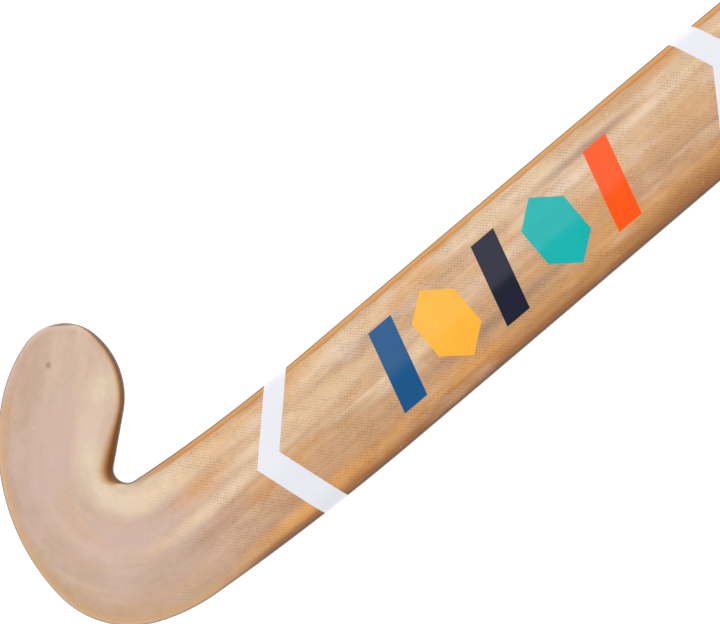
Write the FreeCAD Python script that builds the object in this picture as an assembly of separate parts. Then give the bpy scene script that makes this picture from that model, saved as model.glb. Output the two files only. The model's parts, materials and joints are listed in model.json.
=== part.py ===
"""A wooden field hockey stick: a head and shaft blank bent from seven glued plies, a spliced
handle of three staves with two rubber strips between them, a woven glass-fibre sleeve over
all of it, surface decals, a wound grip and a butt cap.

The blade frame, in which everything is drawn (mm): X runs up the shaft from the lowest point of
the head, Y points to the toe side, and Z = 0 is the flat playing face of the head, with the
rounded back below it. bow() then curves the shaft and rest_pose() lays the stick on its back.
"""

import FreeCAD
import Part
import math
import os

from FreeCAD import Vector

# ---- driving dimensions, mm and degrees ----
STICK_LENGTH = 927.0            # 36.5 inch, heel to butt
SHAFT_HALF_WIDTH = 24.0         # widest, just above the head
FACE_DROP = 6.0                 # from the flat face down to the widest line of the section
SLEEVE_WALL = 0.8               # glass fibre and resin
PLANED = 0.05                   # skimmed off the face to make it true
PLANER_END_X = 500.0            # above this the section is turning round, and is left unplaned

BOW_START_X = 76.0              # the face is plane below this
BOW_END_X = 466.0               # and the shaft is straight above this
BOW_ANGLE = 7.4                 # whole turn of the shaft, which gives a 20 mm bow
REST_TILT = 5.0                 # head end up, so that the bowed back balances on the floor

HANDLE_RADIUS = 14.0            # over the sleeve, under the grip
HANDLE_AXIS_Z = -11.0           # handle axis below the line of the playing face
GRIP_LENGTH = 305.0
UNDERLAY_WALL = 1.0             # foam tape under the grip
GRIP_RADIUS = 16.5              # over the wound grip
FINISHING_TAPE_WIDTH = 18.0     # half of it lies on the grip and half on the sleeve
FINISHING_TAPE_WALL = 0.3       # it presses the grip's end in by this, and so lies flush
FINISHING_TAPE_EDGE = 0.9       # its thin lower end, over the sleeve
CAP_FLANGE = 5.0
CAP_RADIUS = 16.3               # just inside the grip, so that a sleeve passes over it
CAP_ROUND = 2.5
CAP_STUB_RADIUS = 3.5
CAP_STUB_LENGTH = 24.0
STAVE_HALF = 5.0                # half the middle stave's thickness
RUBBER_WALL = 2.0               # one rubber strip
SPLICE_TIP_X = 470.0            # the handle's lower end is a wedge from here
SPLICE_END_X = 590.0            # to here,
SPLICE_HALF_OPENING = 12.5      # where it is twice this wide

PLY_COUNT = 7
BEND_CENTRE = (45.6, 32.8)      # the plies are bent round this
HOOK_HEADING = 40.0             # where the toe points, from the shaft's own line
PLY_STOPS = {7: 225.0, 6: 190.0}    # shaping has worn the outermost plies away past these angles,
OUTER_PLY_END_X = 455.0         # and beyond this place on the shaft

DECAL_WALL = 0.12               # a printed film
# A band's lower edge: X at the toe-side edge, at its vertex and at the heel-side edge, and the vertex's Y.
BANDS = {"lower_band": (100.2, 79.7, 88.1, 3.4), "upper_band": (281.0, 287.6, 266.3, 8.1)}
BAND_WIDTH = 9.9
MARKS = {                       # the X of each one's middle
    "mark_blue": 140.0,
    "mark_amber": 162.0,
    "mark_navy": 186.0,
    "mark_teal": 211.0,
    "mark_orange": 236.0,
}
MARK_HEIGHT = 29.0
MARK_BAR_WIDTH = 10.0
MARK_HEXAGON_WIDTH = 19.0
MARK_LEAN = 8.0                 # a bar's toe-side end is this much further up the shaft

OVERLAP = 1.0                   # pieces that are fused run this far into each other
BEYOND = 150.0                  # well outside the head, across or along it
ABOVE, BELOW = 90.0, -60.0      # well outside the stick, over its face and under its back
NEAR = 1e-3                     # closer than this counts as touching

BUTT_X = STICK_LENGTH - CAP_FLANGE
GRIP_X = BUTT_X - GRIP_LENGTH
HEAD_X = 140.0                  # above this both edges are straight

# Edges of the head, walked from HEAD_X to the toe tip. A move is (straight length,) or
# (radius, turn), and a positive turn is towards the toe.
TOE_SIDE_EDGE = ((26.7,), (586.4, 6.7), (4.7, 133.8), (19.2,), (28.3, -61.6), (16.2, -43.3))
HEEL_SIDE_EDGE = (
    (12.9,), (950.4, 5.2),
    (68.1, 18.8), (34.0, 62.6), (76.4, 41.0),
    (76.4, 14.8), (50.3, 22.4), (16.7, 50.8),
)
# How many moves of each edge lie in the neck, in the bend and in the toe.
TOE_SIDE_ZONES = (2, 1, 3)
HEEL_SIDE_ZONES = (2, 3, 3)
# Loft sections in each of those zones, and along the shaft.
ZONE_SECTIONS = (5, 14, 11)
TOE_END = 0.95                  # the toe ends in a flat a few mm across, this far along its zone
SHAFT_STATIONS = (GRIP_X, 602, 585, 560, 530, 500, 470, 430, 390, 350, 310, 270, 230, 190, 160)


def to_handle(value):
    """The last two keys of a size: the same value from the lower end of the grip to the butt."""
    return ((GRIP_X, value), (BUTT_X, value))


# Section sizes along the stick. Key: X on the shaft, or minus the zone position in the head
# (0 at HEAD_X, 1 at the start of the bend, 2 at its end, 3 at the toe tip).
HALF_WIDTH = ((HEAD_X, SHAFT_HALF_WIDTH), (300, 23.4), (450, 19.6), (585, 14.7))
HALF_WIDTH += to_handle(HANDLE_RADIUS)
# highest line of the section, and how far below it the widest line is
TOP = ((-3, 0), (520, 0)) + to_handle(HANDLE_AXIS_Z + HANDLE_RADIUS)
DROP = ((-3, FACE_DROP), (300, FACE_DROP)) + to_handle(HANDLE_RADIUS)
# how far in from each edge the flat of the face ends
TOE_SIDE_RUN = ((-3, 6.0), (-2, 7.0), (-1, 6.0), (0, 4.5), (300, 4.5)) + to_handle(13.5)
HEEL_SIDE_RUN = ((-3, 6.0), (-1, 7.5), (0, 9.0), (300, 9.0)) + to_handle(13.5)
MOST_RUN = 0.9                  # of half the width
THICKNESS = ((-3, 17.5), (-2, 19.5), (-1, 22.0), (0, 22.5), (300, 22.5)) + to_handle(2 * HANDLE_RADIUS)
# the back is a superellipse, and 2 makes it round
BACK_POWER = ((-3, 2.3), (300, 2.3)) + to_handle(2.0)
TOE_BACK_RUN = 15.0             # how far from the toe tip its back starts to round up
CORNER_POINTS, BACK_POINTS = 6, 18    # steps along a section's corner and its back
NEXT = 1e-9                     # a station this far past a zone's start belongs to that zone


def keyed(keys, at):
    """Monotone cubic through (position, value) keys."""
    if at <= keys[0][0]:
        return keys[0][1]
    if at >= keys[-1][0]:
        return keys[-1][1]
    slopes = [(b[1] - a[1]) / (b[0] - a[0]) for a, b in zip(keys, keys[1:])]
    tangents = [0.0]
    for before, after in zip(slopes, slopes[1:]):
        tangents.append(2 * before * after / (before + after) if before * after > 0 else 0.0)
    tangents.append(0.0)
    i = max(k for k in range(len(slopes)) if keys[k][0] <= at)
    span = keys[i + 1][0] - keys[i][0]
    t = (at - keys[i][0]) / span
    return (
        keys[i][1] * (1 + 2 * t) * (1 - t) ** 2
        + tangents[i] * span * t * (1 - t) ** 2
        + keys[i + 1][1] * t * t * (3 - 2 * t)
        - tangents[i + 1] * span * t * t * (1 - t)
    )


def walk(x, y, moves, distance):
    """The point and heading (radians) that far along an edge that starts at x, y down the shaft."""
    heading = math.pi
    for move in moves:
        straight = len(move) == 1
        length = move[0] if straight else move[0] * math.radians(abs(move[1]))
        part = min(distance, length)
        if straight:
            x += part * math.cos(heading)
            y += part * math.sin(heading)
        else:
            radius = math.copysign(move[0], move[1])
            turned = heading - part / radius
            x -= radius * (math.sin(turned) - math.sin(heading))
            y += radius * (math.cos(turned) - math.cos(heading))
            heading = turned
        distance -= part
        if distance <= NEXT:
            break
    return x, y, heading


def zone_ends(moves, zones):
    """How far along the edge each zone of the head ends."""
    lengths = [m[0] if len(m) == 1 else m[0] * math.radians(abs(m[1])) for m in moves]
    ends, used = [0.0], 0
    for count in zones:
        used += count
        ends.append(sum(lengths[:used]))
    return ends


def edge_point(side, position, inset):
    """A point on the toe-side (side 1) or heel-side (-1) edge of the head, inset into the wood."""
    moves = TOE_SIDE_EDGE if side > 0 else HEEL_SIDE_EDGE
    zones = TOE_SIDE_ZONES if side > 0 else HEEL_SIDE_ZONES
    ends = zone_ends(moves, zones)
    zone = min(int(position), len(zones) - 1)
    distance = ends[zone] + (position - zone) * (ends[zone + 1] - ends[zone])
    x, y, heading = walk(HEAD_X, side * SHAFT_HALF_WIDTH, moves, distance)
    return x - side * inset * math.sin(heading), y + side * inset * math.cos(heading)


def section_frame(station, inset):
    """Both edge points of a section: station is X on the shaft, or minus the zone position in the head."""
    if station > 0:
        half = keyed(HALF_WIDTH, station) - inset
        return (station, half), (station, -half)
    return edge_point(1, -station, inset), edge_point(-1, -station, inset)


def section_profile(station, inset):
    """Closed profile of a section as four lists of (w, z): face, heel-side corner, back, toe-side corner.
    w runs from -1 at the heel-side edge to 1 at the toe-side edge."""
    (xi, yi), (xo, yo) = section_frame(station, inset)
    half = math.hypot(xi - xo, yi - yo) / 2
    drop = keyed(DROP, station) - inset
    depth = keyed(THICKNESS, station) - keyed(DROP, station) - inset
    power = keyed(BACK_POWER, station)
    waist = keyed(TOP, station) - keyed(DROP, station)
    runs = [min(keyed(run, station), MOST_RUN * half) for run in (HEEL_SIDE_RUN, TOE_SIDE_RUN)]
    if station < -2:            # the toe rounds off in the third direction too
        tip_in, tip_out = section_frame(-3, inset)
        tip = (tip_in[0] + tip_out[0]) / 2, (tip_in[1] + tip_out[1]) / 2
        away = math.hypot((xi + xo) / 2 - tip[0], (yi + yo) / 2 - tip[1])
        short = max(0.0, 1 - away / keyed(TOE_SIDE_RUN, -3))
        drop *= math.sqrt(1 - short**2)
        short = max(0.0, 1 - away / TOE_BACK_RUN)
        depth *= (1 - short**power) ** (1 / power)
    angles = [math.pi / 2 * k / CORNER_POINTS for k in range(CORNER_POINTS + 1)]
    heel = [(runs[0] * (1 - math.cos(a)) - half, waist + drop * math.sin(a)) for a in angles[::-1]]
    toe = [(half - runs[1] * (1 - math.cos(a)), waist + drop * math.sin(a)) for a in angles]
    under = []
    for k in range(BACK_POINTS + 1):
        c = math.cos(math.pi * k / BACK_POINTS)
        s = math.sin(math.pi * k / BACK_POINTS)
        w = -half * math.copysign(abs(c) ** (2 / power), c)
        under.append((w, waist - depth * abs(s) ** (2 / power)))
    return [[toe[-1], heel[0]], heel, under, toe]


def bow(x, y, z):
    """Bends the straight stick: its face stays plane below BOW_START_X and above BOW_END_X."""
    angle = math.radians(BOW_ANGLE)
    radius = (BOW_END_X - BOW_START_X) / angle
    turn = min(max((x - BOW_START_X) / radius, 0.0), angle)
    over = x - BOW_START_X - turn * radius
    return Vector(
        BOW_START_X + (radius - z) * math.sin(turn) + over * math.cos(turn),
        y,
        radius - (radius - z) * math.cos(turn) + over * math.sin(turn),
    )


def section_wire(station, inset):
    """The closed outline of a section, where the bowed stick has it."""
    (xi, yi), (xo, yo) = section_frame(station, inset)
    half = math.hypot(xi - xo, yi - yo) / 2
    ux, uy = (xi - xo) / (2 * half), (yi - yo) / (2 * half)
    mx, my = (xi + xo) / 2, (yi + yo) / 2
    edges = []
    for stretch in section_profile(station, inset):
        points = [bow(mx + w * ux, my + w * uy, z) for w, z in stretch]
        if len(points) == 2:
            edges.append(Part.LineSegment(*points).toShape())
        else:
            curve = Part.BSplineCurve()
            curve.interpolate(points)
            edges.append(curve.toShape())
    return Part.Wire(edges)


def stations(zone):
    """Loft stations of one zone: "handle", "shaft", or 0 (neck), 1 (bend) or 2 (toe) of the head."""
    if zone == "handle":
        return [BUTT_X, GRIP_X]
    if zone == "shaft":
        return list(SHAFT_STATIONS) + [-NEXT]
    count = ZONE_SECTIONS[zone]
    shares = [k / count for k in range(count + 1)]
    if zone == 2:               # closer together towards the rounded tip
        shares = [TOE_END * math.sin(math.pi / 2 * share) for share in shares]
    return [-(zone + share) - NEXT for share in shares]


def stick_solid(inset):
    """The whole stick, butt to toe, made smaller all round by inset."""
    faces = []
    for zone in ("handle", "shaft", 0, 1, 2):
        wires = [section_wire(s, inset) for s in stations(zone)]
        if zone == "handle":
            faces.append(Part.Face(wires[0]))
        if zone == 2:
            faces.append(Part.Face(wires[-1]))
        faces.extend(Part.makeLoft(wires, False, zone == "handle").Faces)
    return sewn(faces).cut(face_planer(inset)).Solids[0]


def sewn(faces):
    """A solid from the faces that close round it."""
    skin = Part.makeShell(faces)
    skin.sewShape(NEAR / 10)
    solid = Part.makeSolid(skin)
    if solid.Volume < 0:
        solid.reverse()
    return solid


def sleeve_solid(outer, core):
    """The wall between two stick solids, open at the butt."""
    end = Part.Vertex(bow(BUTT_X, 0, HANDLE_AXIS_Z))
    faces, ends = [], []
    for solid in (outer, core):
        for face in solid.Faces:
            if face.distToShape(end)[0] < NEAR:
                ends.append(face)
            else:
                faces.append(face if solid is outer else face.reversed())
    return sewn(faces + ends[0].cut(ends[1]).Faces)


def face_planer(inset):
    """Everything above the playing face: planes the head true, and the bowed shaft to an arc."""
    z = -inset - PLANED
    angle = math.radians(BOW_ANGLE)
    radius = (BOW_END_X - BOW_START_X) / angle - z
    start, end = bow(BOW_START_X, 0, z), bow(BOW_END_X, 0, z)
    rise = radius * (1 - math.cos(angle / 2))
    middle = start + Vector(radius * math.sin(angle / 2), 0, rise)
    lead, out = Vector(-BEYOND, 0, z), bow(PLANER_END_X, 0, z + 4 * PLANED)
    corners = [end, out, Vector(out.x, 0, ABOVE), Vector(-BEYOND, 0, ABOVE), lead, start]
    edges = [Part.Arc(start, middle, end).toShape()]
    edges += [Part.makeLine(a, b) for a, b in zip(corners, corners[1:])]
    profile = Part.Face(Part.Wire(edges))
    profile.translate(Vector(0, -BEYOND, 0))
    return profile.extrude(Vector(0, 2 * BEYOND, 0))


def prism(points, low=BELOW, high=ABOVE):
    """A vertical prism over a polygon of (x, y)."""
    wire = Part.makePolygon([Vector(x, y, low) for x, y in points] + [Vector(*points[0], low)])
    return Part.Face(wire).extrude(Vector(0, 0, high - low))


def beyond_line(r, end_x, stop=None):
    """Everything on the heel side of a line at distance r from the centre of the bend. The line runs
    down the shaft from end_x and round the bend, to the angle stop or else out along the toe."""
    centre = Vector(*BEND_CENTRE, BELOW)
    toe = math.radians(HOOK_HEADING)
    turned = math.radians(stop) if stop else toe + math.radians(90)
    outward = Vector(math.cos(turned), math.sin(turned), 0)
    middle = (turned + math.radians(270)) / 2
    start = centre + Vector(0, -r, 0)
    end = centre + outward * r
    halfway = centre + Vector(math.cos(middle), math.sin(middle), 0) * r
    run = [end]
    if not stop:
        run.append(end + Vector(math.cos(toe), math.sin(toe), 0) * BEYOND)
    out = run[-1] + outward * BEYOND
    run += [out] + [Vector(x, y, BELOW) for x, y in ((-BEYOND, out.y), (-BEYOND, -BEYOND))]
    run += [Vector(x, y, BELOW) for x, y in ((end_x, -BEYOND), (end_x, start.y))] + [start]
    edges = [Part.Arc(start, halfway, end).toShape()]
    edges += [Part.makeLine(a, b) for a, b in zip(run, run[1:])]
    return Part.Face(Part.Wire(edges)).extrude(Vector(0, 0, ABOVE - BELOW))


def splice_wedge():
    """The pointed lower end of the handle, as it sits in the V cut down the middle of the blank."""
    half = [(SPLICE_END_X, SPLICE_HALF_OPENING), (SPLICE_END_X, BEYOND), (STICK_LENGTH, BEYOND)]
    return prism([(SPLICE_TIP_X, 0)] + half + [(x, -y) for x, y in half[::-1]])


def blank_plies(core):
    """Seven bent plies, from the toe side (1) to the heel side (7). Where shaping the blank has
    worn a ply thin, it ends, and its neighbour goes on to the surface."""
    rest = core.cut(splice_wedge())
    thickness = 2 * SHAFT_HALF_WIDTH / PLY_COUNT
    first = BEND_CENTRE[1] - SHAFT_HALF_WIDTH
    corners = [(-BEYOND, -BEYOND), (OUTER_PLY_END_X, -BEYOND), (OUTER_PLY_END_X, BEYOND), (-BEYOND, BEYOND)]
    toe_side = prism(corners).cut(beyond_line(first + thickness, SPLICE_END_X))
    plies = {"blank_ply_1": rest.common(toe_side)}
    rest = rest.cut(toe_side)
    for k in range(PLY_COUNT, 2, -1):
        end_x = OUTER_PLY_END_X if k == PLY_COUNT else SPLICE_END_X + OVERLAP
        region = beyond_line(first + (k - 1) * thickness, end_x, PLY_STOPS.get(k))
        plies["blank_ply_%d" % k] = rest.common(region)
        rest = rest.cut(region)
    plies["blank_ply_2"] = rest
    return dict(sorted(plies.items()))


def handle_pieces(core):
    """Three staves with a rubber strip on each side of the middle one."""
    hole = handle_rod(CAP_STUB_RADIUS, BUTT_X - CAP_STUB_LENGTH, STICK_LENGTH)
    handle = core.common(splice_wedge()).cut(hole)
    joint, stave = STAVE_HALF, STAVE_HALF + RUBBER_WALL
    layers = {
        "handle_stave_toe_side": (stave, BEYOND),
        "rubber_strip_toe_side": (joint, stave),
        "handle_stave_middle": (-joint, joint),
        "rubber_strip_heel_side": (-stave, -joint),
        "handle_stave_heel_side": (-BEYOND, -stave),
    }
    low, high = SPLICE_TIP_X - OVERLAP, STICK_LENGTH
    made = {}
    for name, (y0, y1) in layers.items():
        made[name] = handle.common(prism([(low, y0), (high, y0), (high, y1), (low, y1)]))
    return made


def handle_rod(radius, start_x, end_x):
    """A cylinder on the handle axis between two places on the stick."""
    start, end = bow(start_x, 0, HANDLE_AXIS_Z), bow(end_x, 0, HANDLE_AXIS_Z)
    return Part.makeCylinder(radius, (end - start).Length, start, end - start)


def decal(outer, raised, outline, middle_x):
    """A thin film over the outline, on the face and down to the widest line of the edges."""
    points = [(bow(x, 0, 0).x, y) for x, y in outline]
    film = raised.common(prism(points, bow(middle_x, 0, -FACE_DROP).z))
    return film.cut(outer)


def band_outline(toe_side_x, vertex_x, heel_side_x, vertex_y):
    """A chevron right across the shaft. Its lower edge meets the two edges at these X."""
    past = OVERLAP / SHAFT_HALF_WIDTH       # each arm runs on past the edge, so that it is cut there
    toe_y, heel_y = SHAFT_HALF_WIDTH, -SHAFT_HALF_WIDTH
    toe_x = toe_side_x + past * (toe_side_x - vertex_x)
    heel_x = heel_side_x + past * (heel_side_x - vertex_x)
    toe_y += past * (toe_y - vertex_y)
    heel_y += past * (heel_y - vertex_y)
    lower = [(toe_x, toe_y), (vertex_x, vertex_y), (heel_x, heel_y)]
    return lower + [(x + BAND_WIDTH, y) for x, y in lower[::-1]]


def bar_outline(x):
    """A slanted bar across the middle of the shaft."""
    w, h, lean = MARK_BAR_WIDTH / 2, MARK_HEIGHT / 2, MARK_LEAN / 2
    return [(x - w - lean, -h), (x + w - lean, -h), (x + w + lean, h), (x - w + lean, h)]


def hexagon_outline(x):
    """A long hexagon with its points towards the two edges."""
    w, h = MARK_HEXAGON_WIDTH / 2, MARK_HEIGHT / 2
    return [(x + w, -h / 2), (x + w, h / 2), (x, h), (x - w, h / 2), (x - w, -h / 2), (x, -h)]


def decals(outer):
    """Two chevron bands, and between them a row of bars and hexagons by turns."""
    raised = stick_solid(-DECAL_WALL)
    made = {}
    for name, (toe_side_x, vertex_x, heel_side_x, vertex_y) in BANDS.items():
        outline = band_outline(toe_side_x, vertex_x, heel_side_x, vertex_y)
        made[name] = decal(outer, raised, outline, vertex_x + BAND_WIDTH)
    for k, (name, x) in enumerate(MARKS.items()):
        outline = hexagon_outline(x) if k % 2 else bar_outline(x)
        made[name] = decal(outer, raised, outline, x)
    return made


def grip_pieces(outer):
    """Foam underlay, wound tape over it, and the narrow tape that closes its lower end."""
    half = FINISHING_TAPE_WIDTH / 2
    underlay = handle_rod(HANDLE_RADIUS + UNDERLAY_WALL, GRIP_X, BUTT_X)
    pressed = handle_rod(GRIP_RADIUS - FINISHING_TAPE_WALL, GRIP_X, GRIP_X + half + OVERLAP)
    tape = handle_rod(GRIP_RADIUS, GRIP_X + half, BUTT_X).fuse(pressed).removeSplitter()
    start, end = bow(GRIP_X - half, 0, HANDLE_AXIS_Z), bow(GRIP_X, 0, HANDLE_AXIS_Z)
    closing = Part.makeCone(HANDLE_RADIUS + FINISHING_TAPE_EDGE, GRIP_RADIUS, half, start, end - start)
    closing = closing.fuse(handle_rod(GRIP_RADIUS, GRIP_X, GRIP_X + half))
    return {
        "grip_underlay": underlay.cut(outer),
        "grip_tape": tape.cut(underlay),
        "finishing_tape": closing.cut(tape).cut(underlay).cut(outer),
    }


def butt_cap():
    """A moulded cap: a rounded flange against the end of the handle and a stub glued into it."""
    flange = handle_rod(CAP_RADIUS, BUTT_X, STICK_LENGTH)
    end = Part.Vertex(bow(STICK_LENGTH, 0, HANDLE_AXIS_Z))
    far_rim = [e for e in flange.Edges if abs(e.distToShape(end)[0] - CAP_RADIUS) < NEAR]
    flange = flange.makeFillet(CAP_ROUND, far_rim)
    stub = handle_rod(CAP_STUB_RADIUS, BUTT_X - CAP_STUB_LENGTH, BUTT_X + OVERLAP)
    return flange.fuse(stub).removeSplitter()


def rest_pose(pieces):
    """Lays the stick on its bowed back with the origin at the bottom middle of its box."""
    for shape in pieces.values():
        shape.rotate(Vector(0, 0, 0), Vector(0, 1, 0), REST_TILT)
    box = Part.makeCompound(list(pieces.values())).optimalBoundingBox(False)
    for shape in pieces.values():
        shape.translate(Vector(-box.Center.x, -box.Center.y, -box.ZMin))


def main():
    """Makes every piece and writes each as its own STEP file."""
    os.makedirs("parts", exist_ok=True)
    outer, core = stick_solid(0), stick_solid(SLEEVE_WALL)
    pieces = blank_plies(core)
    pieces.update(handle_pieces(core))
    pieces["glass_sleeve"] = sleeve_solid(outer, core)
    pieces.update(decals(outer))
    pieces.update(grip_pieces(outer))
    pieces["butt_cap"] = butt_cap()
    rest_pose(pieces)
    for name, shape in pieces.items():
        shape.exportStep("parts/%s.step" % name)
        print(name, len(shape.Solids), "solid,", round(shape.Volume, 1), "mm3")


main()
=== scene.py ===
"""The looks of a wooden field hockey stick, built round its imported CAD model.

The lacquered skin is one dense mesh that follows the same edges and sections as the CAD
sleeve, with three surface coordinates for its materials: where a point lies in the bent
plies, where it lies in the woven cloth, and how near it is to the edges. The grip, its
closing tape and the butt cap are wound and turned here. The prints are the CAD's own films.

Lengths below are in millimetres in the straight blade frame of the CAD source: X up the
shaft from the bottom of the head, Y towards the toe, Z = 0 on the playing face.
to_row() bends the stick, tips it onto its back and moves it into the row's frame in metres.
"""

import json
import math

import bpy
from mathutils import Matrix, Vector


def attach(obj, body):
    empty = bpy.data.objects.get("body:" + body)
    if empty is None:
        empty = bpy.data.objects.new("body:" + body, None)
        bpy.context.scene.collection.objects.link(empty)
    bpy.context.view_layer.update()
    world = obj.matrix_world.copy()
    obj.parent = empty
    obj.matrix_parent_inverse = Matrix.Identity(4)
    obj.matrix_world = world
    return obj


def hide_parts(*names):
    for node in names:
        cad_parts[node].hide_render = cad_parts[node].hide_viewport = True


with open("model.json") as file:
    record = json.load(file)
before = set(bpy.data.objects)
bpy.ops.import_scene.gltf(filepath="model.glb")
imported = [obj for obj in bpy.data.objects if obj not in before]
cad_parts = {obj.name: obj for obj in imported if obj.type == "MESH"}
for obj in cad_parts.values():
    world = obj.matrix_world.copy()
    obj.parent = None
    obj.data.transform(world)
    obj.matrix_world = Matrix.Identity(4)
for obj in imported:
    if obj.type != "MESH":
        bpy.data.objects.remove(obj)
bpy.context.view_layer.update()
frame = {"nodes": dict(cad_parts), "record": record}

# ---- shape, as in the CAD source (mm, degrees) ----
STICK_LENGTH = 927.0
CAP_FLANGE = 5.0
GRIP_LENGTH = 305.0
BUTT_X = STICK_LENGTH - CAP_FLANGE
GRIP_X = BUTT_X - GRIP_LENGTH
HEAD_X = 140.0
SHAFT_HALF_WIDTH = 24.0
FACE_DROP = 6.0
HANDLE_RADIUS = 14.0
HANDLE_AXIS_Z = -11.0
GRIP_RADIUS = 16.5
CAP_RADIUS = 16.3
FINISHING_TAPE_WIDTH = 18.0             # half of it lies on the grip
BOW_START_X = 76.0
BOW_END_X = 466.0
BOW_ANGLE = 7.4
REST_TILT = 5.0
BEND_CENTRE = (45.6, 32.8)              # the plies are bent round this
HOOK_HEADING = 40.0                     # where the toe points, from the shaft's own line
# Edges of the head, walked from HEAD_X to the toe tip. A move is (straight length,) or
# (radius, turn), and a positive turn is towards the toe.
TOE_SIDE_EDGE = ((26.7,), (586.4, 6.7), (4.7, 133.8), (19.2,), (28.3, -61.6), (16.2, -43.3))
HEEL_SIDE_EDGE = (
    (12.9,), (950.4, 5.2),
    (68.1, 18.8), (34.0, 62.6), (76.4, 41.0),
    (76.4, 14.8), (50.3, 22.4), (16.7, 50.8),
)
# How many moves of each edge lie in the neck, in the bend and in the toe.
TOE_SIDE_ZONES = (2, 1, 3)
HEEL_SIDE_ZONES = (2, 3, 3)
TOE_END = 0.985                         # the skin ends in a flat this far along the toe's zone


def to_handle(value):
    """The last two keys of a size: the same value from the lower end of the grip to the butt."""
    return ((GRIP_X, value), (BUTT_X, value))


# Section sizes along the stick. Key: X on the shaft, or minus the zone position in the head
# (0 at HEAD_X, 1 at the start of the bend, 2 at its end, 3 at the toe tip).
HALF_WIDTH = ((HEAD_X, SHAFT_HALF_WIDTH), (300, 23.4), (450, 19.6), (585, 14.7))
HALF_WIDTH += to_handle(HANDLE_RADIUS)
# highest line of the section, and how far below it the widest line is
TOP = ((-3, 0), (520, 0)) + to_handle(HANDLE_AXIS_Z + HANDLE_RADIUS)
DROP = ((-3, FACE_DROP), (300, FACE_DROP)) + to_handle(HANDLE_RADIUS)
# how far in from each edge the flat of the face ends
TOE_SIDE_RUN = ((-3, 6.0), (-2, 7.0), (-1, 6.0), (0, 4.5), (300, 4.5)) + to_handle(13.5)
HEEL_SIDE_RUN = ((-3, 6.0), (-1, 7.5), (0, 9.0), (300, 9.0)) + to_handle(13.5)
MOST_RUN = 0.9                          # of half the width
THICKNESS = ((-3, 17.5), (-2, 19.5), (-1, 22.0), (0, 22.5), (300, 22.5)) + to_handle(2 * HANDLE_RADIUS)
# the back is a superellipse, and 2 makes it round
BACK_POWER = ((-3, 2.3), (300, 2.3)) + to_handle(2.0)
TOE_BACK_RUN = 15.0                     # how far from the toe tip its back starts to round up

# ---- how finely the skin is drawn ----
SHAFT_STEP = 2.5                        # between rings on the shaft
ZONE_RINGS = (44, 96, 72)               # neck, bend, toe
FACE_CELLS, CORNER_CELLS, BACK_CELLS = 28, 12, 52
SKIN_TOP_X = GRIP_X + 20                # above this the skin is round and under the grip
ROUND_X = GRIP_X + 60
TOE_CROWDING = 1.5                      # rings draw together towards the toe tip by this power
LEAST_RADIUS = 0.0005                   # a turned piece closes to this at its axis
NEXT = 1e-9                             # a station this far past a zone's start belongs to that zone
BEND_UNIT = 30.0                        # a radian round the bend counts as this many mm of ply
SHAFT_PLIES_SLOPE = 0.36                # dy / dx of the line where the shaft's straight plies start to bend

# ---- the picture ----
PICTURE_MIDDLE = (141.7, 22.0)          # X, Y on the face
PICTURE_WIDTH = 248.3                   # mm across the frame
PICTURE_TURN = 40.3                     # the shaft rises this much to the right
LENS = 150.0
SENSOR = 36.0
HEAD_START = 20.0                       # X on the flat head where the face's directions are taken


def keyed(keys, at):
    """Monotone cubic through (position, value) keys."""
    if at <= keys[0][0]:
        return keys[0][1]
    if at >= keys[-1][0]:
        return keys[-1][1]
    slopes = [(b[1] - a[1]) / (b[0] - a[0]) for a, b in zip(keys, keys[1:])]
    tangents = [0.0]
    for before, after in zip(slopes, slopes[1:]):
        tangents.append(2 * before * after / (before + after) if before * after > 0 else 0.0)
    tangents.append(0.0)
    i = max(k for k in range(len(slopes)) if keys[k][0] <= at)
    span = keys[i + 1][0] - keys[i][0]
    t = (at - keys[i][0]) / span
    return (
        keys[i][1] * (1 + 2 * t) * (1 - t) ** 2
        + tangents[i] * span * t * (1 - t) ** 2
        + keys[i + 1][1] * t * t * (3 - 2 * t)
        - tangents[i + 1] * span * t * t * (1 - t)
    )


def walk(x, y, moves, distance):
    """The point that far along an edge that starts at x, y heading down the shaft."""
    heading = math.pi
    for move in moves:
        straight = len(move) == 1
        length = move[0] if straight else move[0] * math.radians(abs(move[1]))
        part = min(distance, length)
        if straight:
            x += part * math.cos(heading)
            y += part * math.sin(heading)
        else:
            radius = math.copysign(move[0], move[1])
            turned = heading - part / radius
            x -= radius * (math.sin(turned) - math.sin(heading))
            y += radius * (math.cos(turned) - math.cos(heading))
            heading = turned
        distance -= part
        if distance <= 1e-9:
            break
    return x, y


def zone_ends(moves, zones):
    """How far along the edge each zone of the head ends."""
    lengths = [m[0] if len(m) == 1 else m[0] * math.radians(abs(m[1])) for m in moves]
    ends, used = [0.0], 0
    for count in zones:
        used += count
        ends.append(sum(lengths[:used]))
    return ends


def edge_point(side, position):
    """A point on the toe-side (side 1) or heel-side (-1) edge of the head."""
    moves, zones = (TOE_SIDE_EDGE, TOE_SIDE_ZONES) if side > 0 else (HEEL_SIDE_EDGE, HEEL_SIDE_ZONES)
    ends = zone_ends(moves, zones)
    zone = min(int(position), len(zones) - 1)
    distance = ends[zone] + (position - zone) * (ends[zone + 1] - ends[zone])
    return walk(HEAD_X, side * SHAFT_HALF_WIDTH, moves, distance)


def section_frame(station):
    """Both edge points of a section: station is X on the shaft, or minus the zone position in the head."""
    if station > 0:
        half = keyed(HALF_WIDTH, station)
        return (station, half), (station, -half)
    return edge_point(1, -station), edge_point(-1, -station)


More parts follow.
